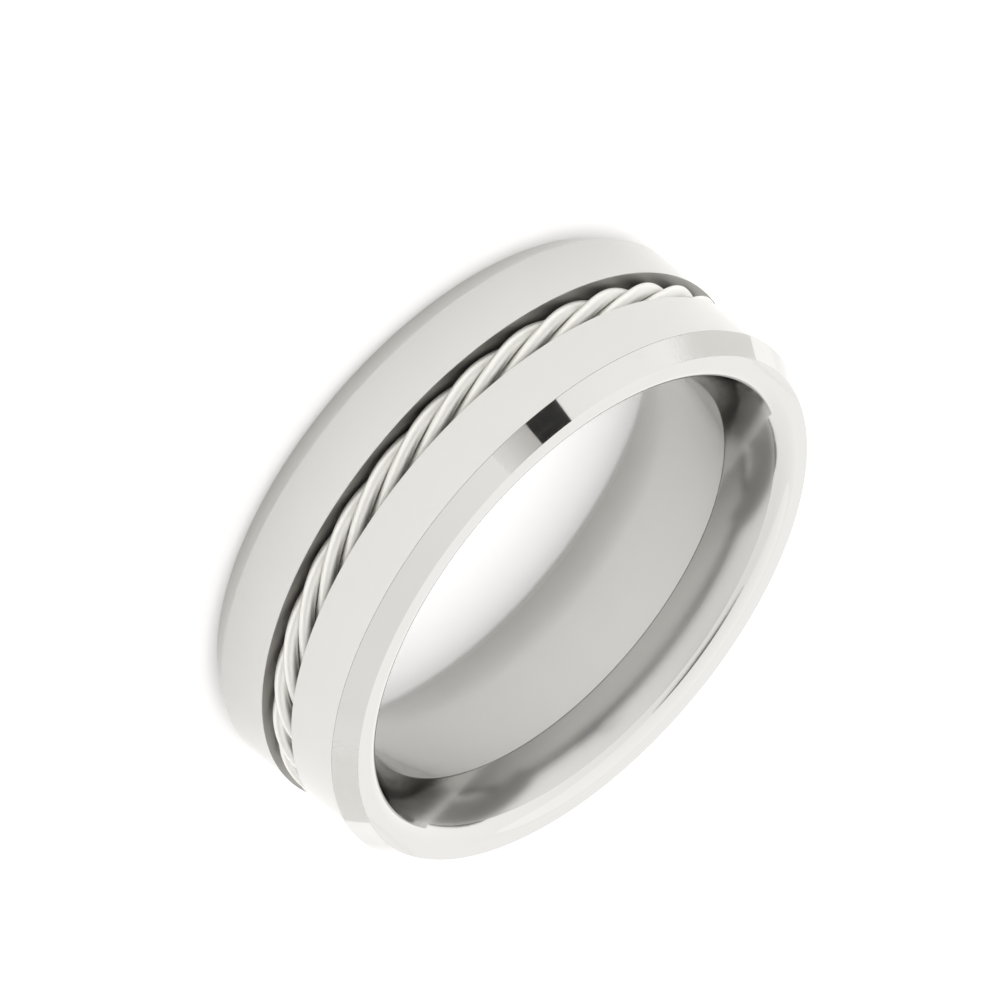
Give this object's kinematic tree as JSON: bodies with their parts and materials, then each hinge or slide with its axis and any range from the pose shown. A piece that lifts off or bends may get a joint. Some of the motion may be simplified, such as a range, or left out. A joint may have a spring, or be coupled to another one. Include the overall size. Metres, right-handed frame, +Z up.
{
  "type": "tungsten ring with twisted wire inlay",
  "caption": "Wide finger ring with bevelled edges, a flared comfort-fit hole and a twisted wire laid in a groove round its outer face.",
  "frame": {"origin": "centre of the ring's axis, on the surface that the ring lies on", "axes": "+Z up along the ring's axis, -Y towards the side that the picture shows, with the twisted wire's joint at +Y"},
  "size_m": [0.0247, 0.0246, 0.008],
  "materials": {
    "tungsten_carbide": "polished",
    "wire": "polished"
  },
  "bodies": {
    "root": {"band": "tungsten_carbide", "strand_1": "wire", "strand_2": "wire", "strand_3": "wire", "strand_4": "wire"}
  },
  "joints": []
}
